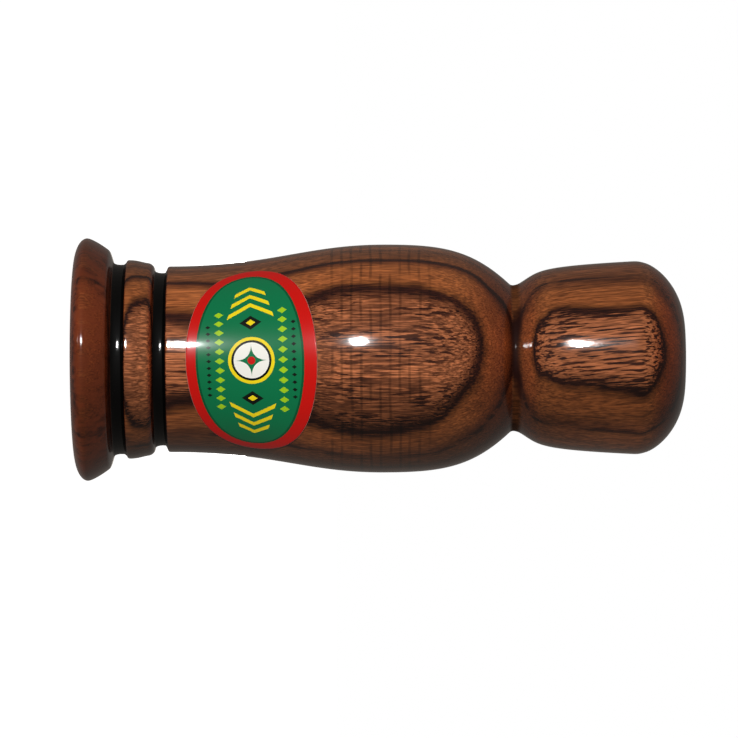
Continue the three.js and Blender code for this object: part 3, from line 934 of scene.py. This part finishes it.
reed_loops = []
straight = np.linspace(reed_heel, reed_tip_start, 40)
tip = reed_half * np.exp(1j * np.linspace(0, 1.5, 20)[1:])
reed_stations = [(height, reed_half) for height in straight]
reed_stations += list(zip(reed_tip_start + tip.imag, tip.real))
for height, half in reed_stations:
    share = max(0, (height - reed_bend_start) / (reed_tip_start + reed_half - reed_bend_start))
    top = reed_top - reed_lift * share**2
    middle = top - reed_thickness / 2
    edge = np.linspace(-math.pi / 2, math.pi / 2, 7)
    nose = reed_thickness / 2 * np.stack([np.cos(edge), np.sin(edge)], axis=1)
    across = np.linspace(half - reed_thickness / 2, reed_thickness / 2 - half, 9)[1:-1]
    right_side = nose + [half - reed_thickness / 2, middle]
    left_side = -nose + [reed_thickness / 2 - half, middle]
    over = np.stack([across, np.full(len(across), top)], axis=1)
    under = np.stack([-across, np.full(len(across), top - reed_thickness)], axis=1)
    reed_loops.append(at_height(np.vstack([right_side, over, left_side, under]), height))
reed = lofted("film_reed", reed_loops)

# Polyester film: milky and half clear, with a gloss and fine streaks along the way it was drawn.
film, tree = new_finish("polyester_film")
place = put(tree, "TexCoord", out="Object")
drawn_out = put(tree, "Mapping", {"Vector": place, "Scale": (5000, 5000, 150)})
streaks = put(tree, "TexNoise", {"Vector": drawn_out, "Scale": 1, "Detail": 2})
shader = put(tree, "BsdfPrincipled", {
    "Base Color": put(tree, "MixRGB", streaks, linear("#c3cdca"), linear("#dde3e0")),
    "Roughness": put(tree, "MapRange", streaks, 0.3, 0.7, 0.14, 0.26, **smooth),
    "Transmission Weight": 0.35,
    "IOR": 1.57,
})
put(tree, "OutputMaterial", {"Surface": shader})
reed.data.materials.append(film)
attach(reed, "reed")
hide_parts("reed")


# The wedge: half-round and slightly tapered, pushed into the collar against the reed's heel. It is cut
# from the same black rod as the collar.
wedge_level = -0.15
wedge_edge = 0.2
wedge_heel = 34.05
wedge_front = 49.3
wedge_heel_radius = 5.2075
wedge_front_radius = 4.8575
wedge_chamfer = 0.35
wedge_end = 0.55

wedge_heights = [wedge_heel, wedge_heel + wedge_chamfer, wedge_front - wedge_chamfer, wedge_front]
wedge_radii = [
    wedge_heel_radius - wedge_chamfer,
    wedge_heel_radius,
    wedge_front_radius,
    wedge_front_radius - wedge_chamfer,
]
wedge_stations = np.concatenate([
    np.linspace(wedge_heel, wedge_heel + wedge_end, 7),
    np.linspace(wedge_heel + 1.45, wedge_front - 1.3, 12),
    np.linspace(wedge_front - wedge_end, wedge_front, 7),
])
wedge_loops = []
for height in wedge_stations:
    near = np.interp(height + np.linspace(-0.15, 0.15, 7), wedge_heights, wedge_radii)
    wedge_loops.append(at_height(round_side(near.mean(), wedge_level, -1, wedge_edge), height))
wedge = lofted("reed_wedge_half_round", wedge_loops)
wedge.data.materials.append(acetal)
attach(wedge, "reed_unit")
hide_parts("reed_wedge")


# The floor: a plain white sheet, level with the face of the bell. It reads white to the camera, with
# a shadow that barely shows, and lets through the light and the view that come from under it.
floor_half = 6.0
floor_gap = 0.0001
floor_mesh = bpy.data.meshes.new("floor")
floor_corners = [(x * floor_half, y * floor_half, 0) for x, y in ((-1, -1), (1, -1), (1, 1), (-1, 1))]
floor_mesh.from_pydata(floor_corners, [], [(0, 1, 2, 3)])
floor = bpy.data.objects.new("floor", floor_mesh)
bpy.context.scene.collection.objects.link(floor)
floor.location.z = -floor_gap
floor.visible_diffuse = False
floor.visible_shadow = False
floor.visible_glossy = False
sheet, tree = new_finish("white_sheet")
seen = put(tree, "LightPath", out="Is Camera Ray")
diffuse = put(tree, "BsdfDiffuse", {"Color": (0.8, 0.8, 0.8, 1)})
glow = put(tree, "Emission", {"Strength": put(tree, "Math", seen, 0.97, **times)})
lit = put(tree, "AddShader", diffuse, glow)
under = put(tree, "NewGeometry", out="Backfacing")
clear = put(tree, "BsdfTransparent")
put(tree, "OutputMaterial", {"Surface": put(tree, "MixShader", under, lit, clear)})
floor.data.materials.append(sheet)


# The light: a small softbox beside the camera, above and left of it in the picture, which mirrors as
# the small bright spots. Behind the call, below its bell and on its darker side stand weak ones that
# only lighten it, and a small lamp marks the bell's edge. The room is dim, and white to the camera.
call_centre = Vector((0, 0, 0.047))


def softbox(name, towards, distance, width, height, level):
    """An area light aimed at the call. At level 1 it lights a white that faces it to white: its power
    is pi squared times the level and the square of its distance."""
    lamp = bpy.data.lights.new(name, "AREA")
    lamp.shape = "RECTANGLE"
    lamp.size, lamp.size_y = width, height
    lamp.energy = level * math.pi**2 * distance**2
    held = bpy.data.objects.new(name, lamp)
    away = Vector(towards).normalized()
    held.location = call_centre + away * distance
    held.rotation_mode = "QUATERNION"
    held.rotation_quaternion = (-away).to_track_quat("-Z", "Y")
    held.visible_camera = False
    bpy.context.scene.collection.objects.link(held)
    return held


key_up = math.radians(17.5)
key_aside = math.radians(6.9)
key_way = (-math.sin(key_up), -math.cos(key_up), -math.sin(key_aside))
softbox("key_softbox", key_way, 0.88, 0.06, 0.024, 0.92)
softbox("side_lamp", (-0.235, -0.43, -0.87), 0.8, 0.017, 0.017, 0.014)
for fill in (
    softbox("back_softbox", (0.02, 1, 0.05), 1.1, 0.2, 0.12, 0.6),
    softbox("bell_softbox", (0.05, -0.1, -1), 0.9, 0.2, 0.2, 0.35),
    softbox("bounce", (1, -0.2, 0.05), 0.7, 0.3, 0.3, 0.05),
):
    fill.visible_glossy = False

world = bpy.data.worlds.new("studio")
bpy.context.scene.world = world
world.use_nodes = True
tree = world.node_tree
tree.nodes.clear()
glossy_share = 0.03
rays = put(tree, "LightPath").node.outputs
seen = put(tree, "Math", rays["Is Camera Ray"], rays["Is Transmission Ray"], operation="MAXIMUM")
mirrored = put(tree, "Math", rays["Is Glossy Ray"], glossy_share, **times)
white_share = put(tree, "Math", seen, mirrored, operation="MAXIMUM")
direction = put(tree, "TexCoord", out="Generated")
behind = put(tree, "SeparateXYZ", direction, out="Y")
walls = put(tree, "MapRange", behind, -0.7, 0.5, 0.06, 0.13, **smooth)
window = put(tree, "MapRange", behind, 0.994, 0.999, 0, 0.6, **smooth)
room_level = put(tree, "Math", walls, window)
room = put(tree, "Background", {"Color": linear("#fff4e8"), "Strength": room_level})
white = put(tree, "Background", {"Color": (1, 1, 1, 1), "Strength": 1.0})
put(tree, "OutputWorld", {"Surface": put(tree, "MixShader", white_share, room, white)})


# The camera: level with the middle of the call, on the sticker's side and 785 mm from the axis. It is
# turned on its side, so that the call lies in the picture with its bell to the left and its mouthpiece
# a touch higher.
camera_distance = 0.785
camera_aside = 0.00165
camera_height = 0.0461
camera_data = bpy.data.cameras.new("camera")
camera_data.sensor_width = 36
camera_data.lens = 243.8
camera_data.clip_start = 0.01
camera_data.clip_end = 50
camera = bpy.data.objects.new("camera", camera_data)
bpy.context.scene.collection.objects.link(camera)
roll = math.radians(0.2)
right, up, back_axis = Vector((0, 0, 1)), Vector((-1, 0, 0)), Vector((0, -1, 0))
rolled_right = right * math.cos(roll) - up * math.sin(roll)
rolled_up = up * math.cos(roll) + right * math.sin(roll)
turn_matrix = Matrix((rolled_right, rolled_up, back_axis)).transposed()
camera_place = Matrix.Translation((camera_aside, -camera_distance, camera_height))
camera.matrix_world = camera_place @ turn_matrix.to_4x4()
bpy.context.scene.camera = camera
bpy.context.scene.view_settings.view_transform = "Standard"
